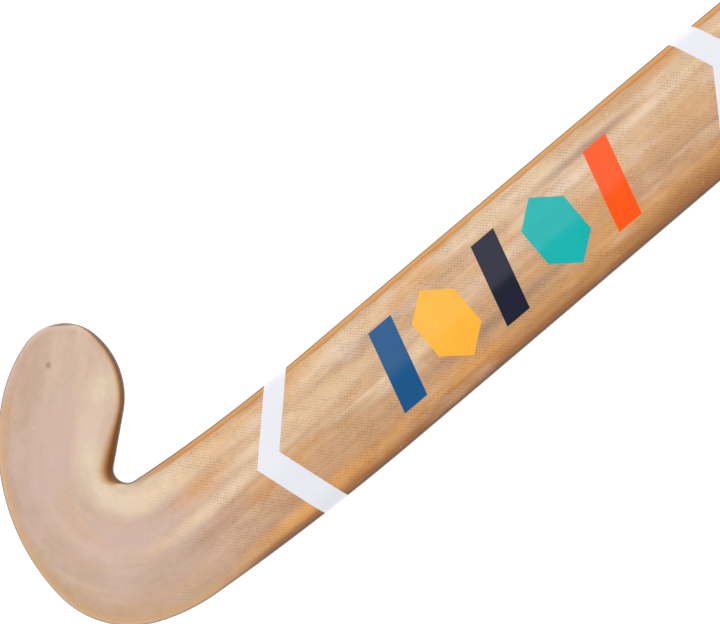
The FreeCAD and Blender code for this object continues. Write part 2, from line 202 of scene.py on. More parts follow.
def section_points(station):
    """A ring of (w, z) that begins and ends at the middle of the back: toe side, face, heel side."""
    (xi, yi), (xo, yo) = section_frame(station)
    half = math.hypot(xi - xo, yi - yo) / 2
    drop = keyed(DROP, station)
    depth = keyed(THICKNESS, station) - drop
    power = keyed(BACK_POWER, station)
    waist = keyed(TOP, station) - drop
    heel_run = min(keyed(HEEL_SIDE_RUN, station), MOST_RUN * half)
    toe_run = min(keyed(TOE_SIDE_RUN, station), MOST_RUN * half)
    if station < -2:
        tip_in, tip_out = section_frame(-3)
        away = math.hypot((xi + xo - tip_in[0] - tip_out[0]) / 2, (yi + yo - tip_in[1] - tip_out[1]) / 2)
        drop *= math.sqrt(1 - max(0.0, 1 - away / TOE_SIDE_RUN[0][1]) ** 2)
        depth *= (1 - max(0.0, 1 - away / TOE_BACK_RUN) ** power) ** (1 / power)
    start, end = half - toe_run, heel_run - half
    ring = [(start + (end - start) * k / FACE_CELLS, waist + drop) for k in range(FACE_CELLS)]
    for k in range(CORNER_CELLS):
        a = math.pi / 2 * (1 - k / CORNER_CELLS)
        ring.append((-half + heel_run * (1 - math.cos(a)), waist + drop * math.sin(a)))
    for k in range(BACK_CELLS):
        a = math.pi * k / BACK_CELLS
        c, s = math.cos(a), math.sin(a)
        w = -half * math.copysign(abs(c) ** (2 / power), c)
        ring.append((w, waist - depth * abs(s) ** (2 / power)))
    for k in range(CORNER_CELLS):
        a = math.pi / 2 * k / CORNER_CELLS
        ring.append((half - toe_run * (1 - math.cos(a)), waist + drop * math.sin(a)))
    seam = FACE_CELLS + CORNER_CELLS + BACK_CELLS // 2
    return ring[seam:] + ring[:seam + 1]


def bow(x, y, z):
    """Bends the straight stick along its length, as the CAD does."""
    angle = math.radians(BOW_ANGLE)
    radius = (BOW_END_X - BOW_START_X) / angle
    turn = min(max((x - BOW_START_X) / radius, 0.0), angle)
    over = x - BOW_START_X - turn * radius
    return Vector((
        BOW_START_X + (radius - z) * math.sin(turn) + over * math.cos(turn),
        y,
        radius - (radius - z) * math.cos(turn) + over * math.sin(turn),
    ))


def tipped(v):
    """Turned about Y by the tilt at which the stick lies on its back."""
    a = math.radians(REST_TILT)
    return Vector((v.x * math.cos(a) + v.z * math.sin(a), v.y, v.z * math.cos(a) - v.x * math.sin(a)))


def row_shift():
    """From the tipped blade frame to the row's frame, in mm: found from the middle of the grip."""
    mount = next(m for m in frame["record"]["mounts"] if m["name"] == "grip")
    return Vector(mount["pos_m"]) * 1000 - tipped(bow((GRIP_X + BUTT_X) / 2, 0, HANDLE_AXIS_Z))


SHIFT = row_shift()


def to_row(x, y, z):
    return (tipped(bow(x, y, z)) + SHIFT) / 1000


# ---- meshes ----

def grid_mesh(name, rows, attributes=None, caps=False):
    """A mesh over rows of points in metres. caps closes the first and last row, each a whole ring."""
    across = len(rows[0])
    points = [p for row in rows for p in row]
    faces = []
    for i in range(len(rows) - 1):
        for j in range(across - 1):
            corner = i * across + j
            faces.append((corner, corner + 1, corner + across + 1, corner + across))
    values = {key: [v for row in grid for v in row] for key, grid in (attributes or {}).items()}
    if caps:
        for first, flip in ((0, True), ((len(rows) - 1) * across, False)):
            ring = list(range(first, first + across))
            middle = sum((Vector(points[k]) for k in ring), Vector()) / across
            points.append(middle)
            for grid in values.values():
                grid.append(tuple(sum(grid[k][n] for k in ring) / across for n in range(3)))
            for a, b in zip(ring, ring[1:]):
                faces.append((b, a, len(points) - 1) if flip else (a, b, len(points) - 1))
    mesh = bpy.data.meshes.new(name)
    mesh.from_pydata([tuple(p) for p in points], [], faces)
    for key, grid in values.items():
        layer = mesh.attributes.new(key, "FLOAT_VECTOR", "POINT")
        layer.data.foreach_set("vector", [float(n) for v in grid for n in v])
    mesh.shade_smooth()
    mesh.update()
    piece = bpy.data.objects.new(name, mesh)
    bpy.context.scene.collection.objects.link(piece)
    return piece


def ply_place(x, y):
    """How far along the bent plies a point lies, and how far across them from the toe-side edge."""
    dx, dy = x - BEND_CENTRE[0], y - BEND_CENTRE[1]
    first = BEND_CENTRE[1] - SHAFT_HALF_WIDTH
    toe = math.radians(HOOK_HEADING)
    along = dx * math.cos(toe) + dy * math.sin(toe)
    across = -dx * math.sin(toe) + dy * math.cos(toe)
    if dx >= 0 and dy < SHAFT_PLIES_SLOPE * dx:
        return dx, -dy - first
    if along >= 0:
        return -math.radians(180 - HOOK_HEADING) * BEND_UNIT - along, across - first
    turned = (math.radians(270) - math.atan2(dy, dx)) % (2 * math.pi)
    return -turned * BEND_UNIT, math.hypot(dx, dy) - first


def skin_stations():
    """Where the skin's rings are, from the butt to the toe tip."""
    found = [BUTT_X, ROUND_X]
    count = round((SKIN_TOP_X - HEAD_X) / SHAFT_STEP)
    found += [SKIN_TOP_X - (SKIN_TOP_X - HEAD_X) * k / count for k in range(count)]
    for zone, rings in enumerate(ZONE_RINGS):
        shares = [k / rings for k in range(rings)]
        if zone == 2:
            shares = [TOE_END * (1 - (1 - share) ** TOE_CROWDING) for share in shares] + [TOE_END]
        found += [-(zone + share) - NEXT for share in shares]
    return found


def build_skin():
    """The lacquered sleeve, with its ply, cloth and rim coordinates."""
    rows, plies, cloth, rims = [], [], [], []
    along, before = HEAD_X, None
    for station in skin_stations():
        (xi, yi), (xo, yo) = section_frame(station)
        half = math.hypot(xi - xo, yi - yo) / 2
        ux, uy = (xi - xo) / (2 * half), (yi - yo) / (2 * half)
        mx, my = (xi + xo) / 2, (yi + yo) / 2
        if station > 0:
            along = station
        elif before:
            along -= math.hypot(mx - before[0], my - before[1])
        before = (mx, my)
        ring = section_points(station)
        girths = [0.0]
        for (w, z), (next_w, next_z) in zip(ring, ring[1:]):
            girths.append(girths[-1] + math.hypot(next_w - w, next_z - z))
        face = BACK_CELLS // 2 + CORNER_CELLS
        seam_girth = -girths[face] - ring[face][0]
        row, ply_row, cloth_row, rim_row = [], [], [], []
        for (w, z), round_it in zip(ring, girths):
            x, y = mx + w * ux, my + w * uy
            s, across = ply_place(x, y)
            if station > 0:
                across = SHAFT_HALF_WIDTH - y
            row.append(to_row(x, y, z))
            ply_row.append((s, across, z))
            cloth_row.append((along, seam_girth + round_it, z))
            rim_row.append((half - w, half + w, along))
        rows.append(row)
        plies.append(ply_row)
        cloth.append(cloth_row)
        rims.append(rim_row)
    return grid_mesh("lacquered_skin", rows, {"ply": plies, "cloth": cloth, "rim": rims}, caps=True)


def handle_point(x, radius, angle):
    return to_row(x, radius * math.sin(angle), HANDLE_AXIS_Z + radius * math.cos(angle))


def build_grip():
    """Tape wound up the handle, each turn lapping the one before."""
    pitch, cells, steps, crowding = 21.0, 14, 72, 1.6
    step_up = ((0, 0.0), (1.2, 0.06), (pitch - 1.6, 0.46), (pitch - 0.5, 0.5), (pitch, 0.3))
    highest = 0.5
    turns = math.ceil(GRIP_LENGTH / pitch) + 2
    rows, wraps = [], []
    for i in range(turns * steps + 1):
        angle = 2 * math.pi * i / steps
        start = GRIP_X + pitch * (i / steps - 1)
        row, wrap = [], []
        for j in range(cells + 1):
            share = j / cells
            w = pitch * (1 - (1 - share) ** crowding)
            x = min(max(start + w, GRIP_X), BUTT_X)
            row.append(handle_point(x, GRIP_RADIUS - highest + keyed(step_up, w), angle))
            wrap.append((start + w, GRIP_RADIUS * angle, w))
        rows.append(row)
        wraps.append(wrap)
    return grid_mesh("grip_winding", rows, {"wrap": wraps})


def lathe(name, profile, lap=0.0):
    """Turns (x, radius) round the handle's axis. lap is how far the last of the turn stands proud."""
    steps = 96
    rows, wraps = [], []
    for x, radius in profile:
        row, wrap = [], []
        for j in range(steps + 1):
            share = j / steps
            row.append(handle_point(x, max(radius + lap * share, LEAST_RADIUS), 2 * math.pi * share))
            wrap.append((x, radius * 2 * math.pi * share, radius))
        rows.append(row)
        wraps.append(wrap)
    return grid_mesh(name, rows, {"wrap": wraps})


def build_finishing_tape():
    """Closes the grip's lower end: it starts on the sleeve and climbs over the grip's edge."""
    half = FINISHING_TAPE_WIDTH / 2
    low, high = GRIP_X - half, GRIP_X + half
    on_sleeve, on_grip, bevel = HANDLE_RADIUS + 0.9, GRIP_RADIUS + 0.2, 0.3
    profile = [(low, HANDLE_RADIUS + 0.2), (low, on_sleeve - 0.15), (low + bevel, on_sleeve)]
    for k in range(1, 12):
        share = k / 12
        x = low + bevel + (half + 1.7) * share
        rise = share * share * (3 - 2 * share)
        profile.append((x, on_sleeve + rise * (on_grip + 0.02 - on_sleeve)))
    flat_x, flat = GRIP_X + 2, half - 2.4
    profile += [(flat_x + flat * k / 8, on_grip + 0.03 * math.sin(k * 1.9)) for k in range(9)]
    profile += [(high, GRIP_RADIUS + 0.12), (high, GRIP_RADIUS - 0.4)]
    return lathe("closing_tape", profile, lap=0.1)


def build_cap():
    """A rounded cap with a shallow dish, ringed by a small step, in its end."""
    corner, dish_radius, dish_x = 2.5, 12.0, STICK_LENGTH - 0.7
    profile = [
        (BUTT_X - 0.2, HANDLE_RADIUS),
        (BUTT_X, CAP_RADIUS - 0.5),
        (BUTT_X + 0.4, CAP_RADIUS - 0.1),
        (BUTT_X + 0.9, CAP_RADIUS),
    ]
    for k in range(9):
        a = math.pi / 2 * k / 8
        x = STICK_LENGTH - corner + corner * math.sin(a)
        profile.append((x, CAP_RADIUS - corner + corner * math.cos(a)))
    profile += [
        (STICK_LENGTH, dish_radius + 1.2),
        (STICK_LENGTH - 0.1, dish_radius + 0.9),
        (STICK_LENGTH - 0.6, dish_radius + 0.7),
        (dish_x, dish_radius + 0.3),
    ]
    profile += [(dish_x + 0.35 * k / 8, dish_radius * (1 - k / 8)) for k in range(9)]
    return lathe("moulded_cap", profile)


# ---- materials ----

class Shader:
    """A material's nodes. Colours are what the surface looks like in daylight, as 0 to 255."""

    def __init__(self, name):
        self.material = bpy.data.materials.new(name)
        self.material.use_nodes = True
        self.tree = self.material.node_tree
        self.surface = self.tree.nodes["Principled BSDF"]

    def node(self, kind, inputs=None, **settings):
        made = self.tree.nodes.new("ShaderNode" + kind)
        for key, value in settings.items():
            setattr(made, key, value)
        for key, value in (inputs or {}).items():
            self.feed(made.inputs[key], value)
        return made

    def feed(self, socket, value):
        if isinstance(value, bpy.types.NodeSocket):
            self.tree.links.new(value, socket)
        else:
            socket.default_value = value

    def math(self, operation, a, b=0.0, c=0.0):
        return self.node("Math", {0: a, 1: b, 2: c}, operation=operation).outputs[0]

    def times(self, a, b):
        return self.math("MULTIPLY", a, b)

    def plus(self, a, b):
        return self.math("ADD", a, b)

    def span(self, value, low, high, to_low=0.0, to_high=1.0, smooth=True):
        """value from low to high mapped onto to_low to to_high, and held beyond."""
        kind = "SMOOTHSTEP" if smooth else "LINEAR"
        if low > high:
            low, high, to_low, to_high = high, low, to_high, to_low
        inputs = {0: value, 1: low, 2: high, 3: to_low, 4: to_high}
        return self.node("MapRange", inputs, interpolation_type=kind).outputs[0]

    def parts(self, attribute):
        vector = self.node("Attribute", attribute_name=attribute).outputs["Vector"]
        split = self.node("SeparateXYZ", {0: vector})
        return split.outputs[0], split.outputs[1], split.outputs[2]

    def vector(self, x, y, z=0.0):
        return self.node("CombineXYZ", {0: x, 1: y, 2: z}).outputs[0]

    def noise(self, vector, scale, detail=2.0, rough=0.5, distortion=0.0):
        inputs = {"Vector": vector, "Scale": scale, "Detail": detail}
        inputs.update({"Roughness": rough, "Distortion": distortion})
        return self.node("TexNoise", inputs).outputs["Fac"]

    def ramp(self, value, stops):
        """A colour ramp over (position, colour) stops."""
        ramp = self.node("ValToRGB", {0: value})
        points = ramp.color_ramp.elements
        while len(points) < len(stops):
            points.new(0.5)
        for point, (position, colour) in zip(points, stops):
            point.position = position
            point.color = linear(colour)
        return ramp.outputs[0]

    def mix(self, share, a, b, blend="MIX"):
        made = self.node("Mix", data_type="RGBA", blend_type=blend)
        self.feed(made.inputs[0], share)
        self.feed(made.inputs[6], a)
        self.feed(made.inputs[7], b)
        return made.outputs[2]

    def shade(self, colour, amount):
        """The colour made lighter or darker by a factor that is 1 for no change."""
        grey = self.node("CombineColor", {0: amount, 1: amount, 2: amount}).outputs[0]
        return self.mix(1.0, colour, grey, "MULTIPLY")

    def bump(self, height, distance):
        inputs = {"Height": height, "Distance": distance, "Strength": 1.0}
        return self.node("Bump", inputs).outputs["Normal"]

    def finish(self, colour, roughness, normal=None, **fixed):
        self.feed(self.surface.inputs["Base Color"], colour)
        self.feed(self.surface.inputs["Roughness"], roughness)
        if normal is not None:
            self.feed(self.surface.inputs["Normal"], normal)
        for key, value in fixed.items():
            self.surface.inputs[key.replace("_", " ")].default_value = value
        return self.material


def linear(colour):
    """A 0 to 255 display colour as linear light."""
    def channel(c):
        c /= 255
        return c / 12.92 if c <= 0.04045 else ((c + 0.055) / 1.055) ** 2.4
    return tuple(channel(c) for c in colour) + (1.0,)


THREAD_PITCH = 0.97                     # between threads of the woven sleeve, mm
LACQUER = {"Coat_Weight": 0.5, "Coat_Roughness": 0.03, "Coat_IOR": 1.45, "Specular_IOR_Level": 0.02}

# colours across the shaft, by distance from its toe-side edge in mm
SHAFT_COLOURS = (
    (0.0, (214, 172, 124)), (3.0, (221, 188, 151)), (6.5, (228, 199, 166)), (10.5, (219, 184, 147)),
    (14.5, (216, 176, 134)), (18.5, (218, 182, 144)), (22.5, (212, 172, 134)), (27.0, (206, 164, 124)),
    (31.0, (206, 162, 122)), (35.0, (204, 160, 120)), (39.0, (202, 154, 108)), (42.5, (204, 148, 88)),
    (45.5, (182, 124, 74)),
)
# and across the head, by distance from the inside of the bend
HEAD_COLOURS = (
    (0.0, (221, 199, 170)), (2.5, (219, 198, 171)), (6.0, (208, 182, 158)), (10.0, (200, 171, 150)),
    (15.0, (203, 174, 155)), (20.0, (204, 175, 157)), (26.0, (195, 165, 146)), (32.0, (194, 164, 143)),
    (37.0, (198, 164, 132)),
)
ACROSS = 48.0                           # the ramps' whole width, mm


def threads(shader, along, across):
    """Gaps, 0 to 1, between two families of threads at 45 degrees to the shaft, the first's plainer."""
    turn = 2 * math.pi / (THREAD_PITCH * math.sqrt(2))
    weft = shader.math("SINE", shader.times(shader.math("SUBTRACT", along, across), turn))
    warp = shader.math("SINE", shader.times(shader.plus(along, across), turn))
    weft_gap = shader.span(weft, 0.0, 1.0)
    warp_gap = shader.span(warp, 0.0, 1.0)
    return shader.math("MULTIPLY_ADD", weft_gap, 0.64, shader.times(warp_gap, 0.36))


def patch(shader, s, p, middle, size):
    """1 at a place in the plies, fading to 0 at an ellipse round it."""
    u = shader.math("DIVIDE", shader.math("SUBTRACT", s, middle[0]), size[0])
    v = shader.math("DIVIDE", shader.math("SUBTRACT", p, middle[1]), size[1])
    reach = shader.math("SQRT", shader.plus(shader.times(u, u), shader.times(v, v)))
    return shader.span(reach, 1.0, 0.1)


def tint(shader, share, colour, target, most=1.0):
    """The colour turned towards a target by a share, of at most most."""
    return shader.mix(shader.times(share, most), colour, linear(target))


def ply_colours(shader, s, across, along):
    """Bent plies: bands along the wood, clouded and streaked."""
    slow = shader.noise(shader.vector(shader.times(s, 0.014), shader.times(across, 0.05), 3.0), 1.0, 1.0)
    p = shader.plus(across, shader.math("MULTIPLY_ADD", slow, 7.0, -3.5))
    share = shader.math("DIVIDE", p, ACROSS)
    shaft = shader.ramp(share, [(mm / ACROSS, colour) for mm, colour in SHAFT_COLOURS])
    head = shader.ramp(share, [(mm / ACROSS, colour) for mm, colour in HEAD_COLOURS])
    colour = shader.mix(shader.span(along, 92.0, 38.0), shaft, head)

    # soft streaks that run with the grain
    grain = shader.vector(shader.times(s, 0.013), shader.times(across, 0.13), 7.0)
    streak = shader.noise(grain, 1.0, 2.0, 0.45, 0.2)
    on_shaft = shader.span(along, 30.0, 80.0, 0.3, 1.0)
    brown = shader.times(shader.span(streak, 0.52, 0.70), on_shaft)
    colour = tint(shader, brown, colour, (186, 136, 96), 0.4)
    cream = shader.times(shader.span(streak, 0.46, 0.30), on_shaft)
    colour = tint(shader, cream, colour, (238, 212, 174), 0.6)
    warm = shader.noise(shader.vector(shader.times(s, 0.02), shader.times(across, 0.09), 21.0), 1.0, 2.0)
    honey = shader.times(shader.span(warm, 0.50, 0.68), on_shaft)
    colour = tint(shader, honey, colour, (222, 162, 96), 0.6)
    purple = shader.noise(shader.vector(shader.times(s, 0.016), shader.times(across, 0.22), 40.0), 1.0, 1.0)
    greyish = shader.times(shader.span(purple, 0.58, 0.74), on_shaft)
    colour = tint(shader, greyish, colour, (168, 134, 116), 0.25)
    fine = shader.vector(shader.times(s, 0.045), shader.times(across, 0.62), 2.0)
    fibre = shader.noise(fine, 1.0, 4.0, 0.65)
    grainy = shader.span(fibre, 0.25, 0.75, -0.14, 0.12, smooth=False)
    colour = shader.shade(colour, shader.plus(shader.times(grainy, on_shaft), 1.0))

    # marks of this one piece of wood: middle and size along and across, colour, strength
    for middle, size, shade, most in (
        ((16.0, 11.5), (17.0, 5.0), (218, 158, 100), 0.65),
        ((18.5, 20.0), (44.0, 3.6), (234, 206, 168), 0.75),
        ((2.0, 4.5), (46.0, 5.5), (232, 206, 170), 0.75),
        ((34.0, 28.5), (20.0, 5.0), (204, 148, 104), 0.5),
        ((8.0, 35.0), (26.0, 8.0), (212, 174, 150), 0.5),
        ((40.0, 41.5), (44.0, 4.0), (228, 168, 98), 0.85),
        ((72.0, 16.0), (30.0, 6.0), (226, 196, 152), 0.6),
        ((66.0, 26.5), (26.0, 3.0), (182, 134, 96), 0.5),
        ((134.0, 34.0), (50.0, 3.2), (156, 124, 100), 0.6),
        ((192.0, 9.0), (36.0, 2.6), (164, 126, 108), 0.7),
        ((176.0, 14.0), (40.0, 3.0), (236, 214, 192), 0.6),
        ((216.0, 12.5), (30.0, 2.4), (238, 216, 190), 0.6),
        ((222.0, 21.0), (40.0, 6.0), (210, 160, 106), 0.6),
        ((240.0, 33.0), (26.0, 3.0), (228, 200, 168), 0.6),
        ((214.0, 4.5), (60.0, 4.0), (200, 148, 98), 0.6),
        ((220.0, 43.5), (90.0, 5.5), (158, 108, 66), 0.6),
        ((-84.0, 6.0), (30.0, 6.5), (224, 204, 176), 0.9),
        ((-30.0, 3.0), (44.0, 6.0), (224, 202, 176), 0.7),
        ((-104.0, 23.4), (1.8, 1.4), (150, 112, 92), 0.8),
    ):
        colour = tint(shader, patch(shader, s, across, middle, size), colour, shade, most)
    return colour


def lacquered_weave():
    """Bent plies seen through a woven glass sleeve and clear lacquer."""
    shader = Shader("lacquered_weave")
    s, across, depth = shader.parts("ply")
    along, girth, _ = shader.parts("cloth")
    from_toe_side, from_heel_side, _ = shader.parts("rim")
    colour = ply_colours(shader, s, across, along)

    # mottled resin on the head, and milky blushes on the shaft
    mottle = shader.noise(stretched(shader, (0.35, 0.35, 0.35)), 1.0, 4.0, 0.62)
    colour = shader.shade(colour, shader.span(mottle, 0.3, 0.7, 0.955, 1.04, smooth=False))
    rose = shader.noise(stretched(shader, (0.06, 0.06, 0.06)), 1.0, 3.0)
    in_head = shader.span(along, 62.0, 25.0)
    rosy = shader.times(shader.span(rose, 0.42, 0.62), in_head)
    colour = tint(shader, rosy, colour, (207, 174, 164), 0.5)
    clouds = shader.vector(shader.times(along, 0.03), shader.times(girth, 0.10), 33.0)
    blush = shader.noise(clouds, 1.0, 2.0)
    milky = shader.times(shader.span(blush, 0.54, 0.72), shader.span(along, 70.0, 120.0, 0.25, 1.0))
    colour = tint(shader, milky, colour, (232, 214, 198), 0.4)

    # gaps between threads, plainest on the shaft and gone on the toe
    slack = shader.vector(shader.times(along, 0.09), shader.times(girth, 0.09), 9.0)
    wander = shader.noise(slack, 1.0, 2.0)
    drift = shader.math("MULTIPLY_ADD", wander, 2.0, -1.0)
    gaps = threads(shader, shader.plus(along, drift), girth)
    cloudy = shader.vector(shader.times(along, 0.10), shader.times(girth, 0.13), 1.0)
    uneven = shader.noise(cloudy, 1.0, 4.0, 0.7)
    plain = shader.span(along, 24.0, 70.0, 0.08, 1.0)
    shows = shader.times(plain, shader.span(uneven, 0.38, 0.62, 0.2, 1.0))
    fleck = shader.noise(shader.vector(shader.times(along, 0.9), shader.times(girth, 0.9), 4.0), 1.0, 2.0)
    gaps = shader.times(gaps, shader.times(shows, shader.span(fleck, 0.34, 0.66, 0.4, 1.3)))
    through = shader.mix(1.0, colour, linear((158, 118, 112)), "MULTIPLY")
    colour = shader.mix(shader.times(gaps, 0.50), colour, through)

    # edges: along the shaft's rounded heel side, painted shade in a honey-brown band and a dark brown line;
    # gold round the bend's heel side; a brownish band and gold along the toe side; and a thin painted shade
    # outline at both edges
    sides = colour
    shaft_part = shader.span(along, 34.0, 66.0)
    bend_part = shader.times(shader.span(along, -45.0, -5.0), shader.span(along, 70.0, 40.0))
    rim_wobble = shader.noise(shader.vector(shader.times(along, 0.05), 2.0), 1.0, 2.0)
    uneven_edge = shader.span(rim_wobble, 0.35, 0.65, 0.6, 1.0)
    # painted shade of the shaft's rounded heel-side rim: honey-brown over the last few mm, made uneven by
    # noise, then dark brown at the edge
    heel_side = shader.times(shader.span(from_heel_side, 3.4, 1.2), shaft_part)
    colour = tint(shader, shader.times(heel_side, uneven_edge), colour, (138, 82, 38), 0.85)
    dark = shader.times(shader.span(from_heel_side, 1.5, 0.5), shaft_part)
    colour = tint(shader, dark, colour, (64, 36, 18), 0.92)
    gold = shader.times(shader.span(from_heel_side, 4.5, 1.5), bend_part)
    colour = tint(shader, gold, colour, (216, 166, 104), 0.5)
    # painted shade: a thin grey-brown outline at the very heel-side edge, all along the skin
    colour = tint(shader, shader.span(from_heel_side, 1.1, 0.3), colour, (92, 70, 54), 0.85)
    edge = shader.plus(from_toe_side, shader.span(rim_wobble, 0.3, 0.7, -0.4, 0.5))
    toe_side = shader.times(shader.span(edge, 2.6, 1.9), shaft_part)
    colour = tint(shader, toe_side, colour, (176, 116, 66), 0.7)
    toe_side = shader.times(shader.span(edge, 1.9, 1.5), shaft_part)
    colour = tint(shader, shader.times(toe_side, uneven_edge), colour, (214, 148, 58), 0.95)
    # painted shade: a thin dark brown outline at the very toe-side edge, all along the skin
    colour = tint(shader, shader.span(from_toe_side, 0.8, 0.25), colour, (84, 50, 26), 0.85)

    # the inner side of the toe: a honey band, then painted shade of its steep inner wall in dark brown,
    # with a painted shade outline at the edge and a darker tip
    width = shader.span(along, -67.5, -60.0, 1.2, 2.4)
    width = shader.plus(width, shader.span(along, -40.0, -20.0, 0.0, 2.3))
    width = shader.plus(width, shader.span(along, -8.0, 22.0, 0.0, -4.3))
    reach = shader.math("DIVIDE", from_toe_side, width)
    on_toe = shader.span(along, 26.0, 14.0)
    honey = shader.times(shader.span(reach, 1.2, 0.55), on_toe)
    colour = tint(shader, honey, colour, (198, 142, 84), 0.9)
    # painted shade of the steep inner wall: dark red-brown towards the tip, orange-brown nearer the bend
    inner_wall_shade = shader.mix(shader.span(along, -60.0, -46.0), linear((100, 52, 36)), linear((122, 74, 30)))
    share = shader.times(shader.times(shader.span(reach, 0.8, 0.3), on_toe), 0.95)
    colour = shader.mix(share, colour, inner_wall_shade)
    # painted shade: a thin dark outline at the inner edge of the toe
    outline = shader.times(shader.span(from_toe_side, 0.9, 0.3), on_toe)
    colour = tint(shader, outline, colour, (60, 40, 32), 0.85)
    # painted shade: the very tip of the toe darkened grey-brown
    colour = tint(shader, shader.span(along, -65.8, -66.8), colour, (88, 62, 50), 0.85)
    colour = shader.mix(shader.span(depth, -13.0, -8.0), sides, colour)
    colour = tint(shader, shader.span(depth, -9.0, -18.0), colour, (186, 138, 96), 0.35)

    # pits
    cells = {"Vector": shader.vector(along, girth, depth), "Scale": 0.30, "Randomness": 1.0}
    pits = shader.node("TexVoronoi", cells)
    rare = shader.node("SeparateColor", {0: pits.outputs["Color"]}).outputs[0]
    pit = shader.times(shader.span(pits.outputs["Distance"], 0.10, 0.04), shader.span(rare, 0.70, 0.75))
    colour = tint(shader, pit, colour, (240, 226, 212), 0.45)

    waves = shader.vector(shader.times(along, 0.10), shader.times(girth, 0.22))
    ripple = shader.noise(waves, 1.0, 2.0)
    height = shader.plus(shader.times(gaps, -0.10), shader.times(ripple, 1.6))
    rubs = shader.vector(shader.times(along, 0.4), shader.times(girth, 1.4), 5.0)
    scuff = shader.noise(rubs, 1.0, 4.0, 0.7)
    roughness = shader.span(scuff, 0.35, 0.75, 0.38, 0.52, smooth=False)
    return shader.finish(colour, roughness, shader.bump(height, 0.00006), **LACQUER)


def position_mm(shader):
    """The point's own place, in millimetres."""
    inputs = {0: shader.node("TexCoord").outputs["Object"], 1: (1000.0, 1000.0, 1000.0)}
    return shader.node("VectorMath", inputs, operation="MULTIPLY").outputs[0]


def stretched(shader, scale):
    return shader.node("VectorMath", {0: position_mm(shader), 1: scale}, operation="MULTIPLY").outputs[0]


def printed(name, colour, worn):
    """Ink under the lacquer, with the cloth's threads just telling through."""
    shader = Shader(name)
    place = shader.node("SeparateXYZ", {0: position_mm(shader)})
    gaps = threads(shader, place.outputs[0], shader.times(place.outputs[1], -1.0))
    blot = shader.noise(stretched(shader, (0.12, 0.12, 0.12)), 1.0, 3.0, 0.6)
    speck = shader.noise(stretched(shader, (1.7, 1.7, 1.7)), 1.0, 4.0, 0.7)
    ink = shader.mix(shader.span(blot, 0.3, 0.7, 0.0, 0.6), linear(colour), linear(worn))
    ink = shader.shade(ink, shader.math("MULTIPLY_ADD", gaps, -0.025, 1.0))
    roughness = shader.span(speck, 0.3, 0.8, 0.34, 0.50, smooth=False)
    ripple = shader.noise(stretched(shader, (0.10, 0.20, 0.20)), 1.0, 2.0)
    height = shader.plus(shader.times(gaps, -0.10), shader.times(ripple, 1.6))
    return shader.finish(ink, roughness, shader.bump(height, 0.00006), **LACQUER)


def sawn_wood(name, light, dark):
    """Bare ply or cane: long grain up the shaft, with darker late wood."""
    shader = Shader(name)
    rings = shader.noise(stretched(shader, (0.01, 0.9, 0.5)), 1.0, 4.0, 0.6, 0.4)
    pores = shader.noise(stretched(shader, (0.08, 6.0, 6.0)), 1.0, 3.0, 0.6)
    colour = shader.mix(shader.span(rings, 0.35, 0.68), linear(light), linear(dark))
    colour = shader.shade(colour, shader.span(pores, 0.3, 0.7, 0.86, 1.06))
    return shader.finish(colour, shader.span(pores, 0.3, 0.7, 0.7, 0.5), shader.bump(pores, 0.00005))


def soft_compound(name, colour, fine):
    """Rubber or foam: an even fine grain with a dusty bloom."""
    shader = Shader(name)
    grain = shader.noise(stretched(shader, (fine, fine, fine)), 1.0, 4.0, 0.7)
    bloom = shader.noise(stretched(shader, (0.08, 0.08, 0.08)), 1.0, 3.0)
    dusty = tuple(c + 40 for c in colour)
    bloomed = shader.mix(shader.span(bloom, 0.35, 0.7, 0.0, 0.3), linear(colour), linear(dusty))
    return shader.finish(bloomed, shader.span(grain, 0.3, 0.7, 0.85, 0.65), shader.bump(grain, 0.00008))


def grip_compound():
    """Tacky polyurethane tape: leathery grain, rows of punched holes, and scuffed high edges."""
    shader = Shader("grip_compound")
    x, round_it, w = shader.parts("wrap")
    cells = {"Vector": shader.vector(x, round_it), "Scale": 1.1}
    grain = shader.node("TexVoronoi", cells, feature="DISTANCE_TO_EDGE").outputs["Distance"]
    creases = shader.span(grain, 0.0, 0.16)
    cell_x = shader.math("SUBTRACT", shader.math("FRACT", shader.math("DIVIDE", w, 3.0)), 0.5)
    cell_y = shader.math("SUBTRACT", shader.math("FRACT", shader.math("DIVIDE", round_it, 3.0)), 0.5)
    reach = shader.math("SQRT", shader.plus(shader.times(cell_x, cell_x), shader.times(cell_y, cell_y)))
    inside = shader.times(shader.span(w, 3.0, 3.2), shader.span(w, 18.0, 17.8))
    hole = shader.times(shader.span(reach, 0.17, 0.12), inside)
    scuff = shader.noise(shader.vector(shader.times(x, 0.2), shader.times(round_it, 0.2)), 1.0, 5.0, 0.65)
    scuffed = shader.times(shader.span(scuff, 0.5, 0.75), 0.35)
    worn = shader.plus(scuffed, shader.times(shader.span(w, 19.6, 20.8), 0.35))
    colour = shader.mix(worn, linear((38, 42, 58)), linear((92, 96, 108)))
    # painted shade: darker in the creases of the grain
    colour = shader.shade(colour, shader.span(creases, 0.0, 1.0, 0.7, 1.0))
    # painted shade: the punched holes coloured near-black
    colour = shader.mix(hole, colour, linear((12, 12, 14)))
    height = shader.math("SUBTRACT", shader.times(creases, 0.35), hole)
    roughness = shader.span(scuff, 0.3, 0.7, 0.62, 0.42)
    return shader.finish(colour, roughness, shader.bump(height, 0.00018), Sheen_Weight=0.15)


def smooth_tape():
    """Stretched vinyl tape: faint pull lines round the handle."""
    shader = Shader("smooth_tape")
    x, round_it, _ = shader.parts("wrap")
    pulled = shader.noise(shader.vector(shader.times(x, 1.6), shader.times(round_it, 0.03)), 1.0, 4.0, 0.6)
    specks = shader.vector(shader.times(x, 0.4), shader.times(round_it, 0.4), 2.0)
    dust = shader.noise(specks, 1.0, 4.0, 0.7)
    colour = shader.mix(shader.span(dust, 0.5, 0.8, 0.0, 0.35), linear((34, 34, 38)), linear((88, 88, 92)))
    return shader.finish(colour, shader.span(pulled, 0.3, 0.7, 0.30, 0.5), shader.bump(pulled, 0.0001))


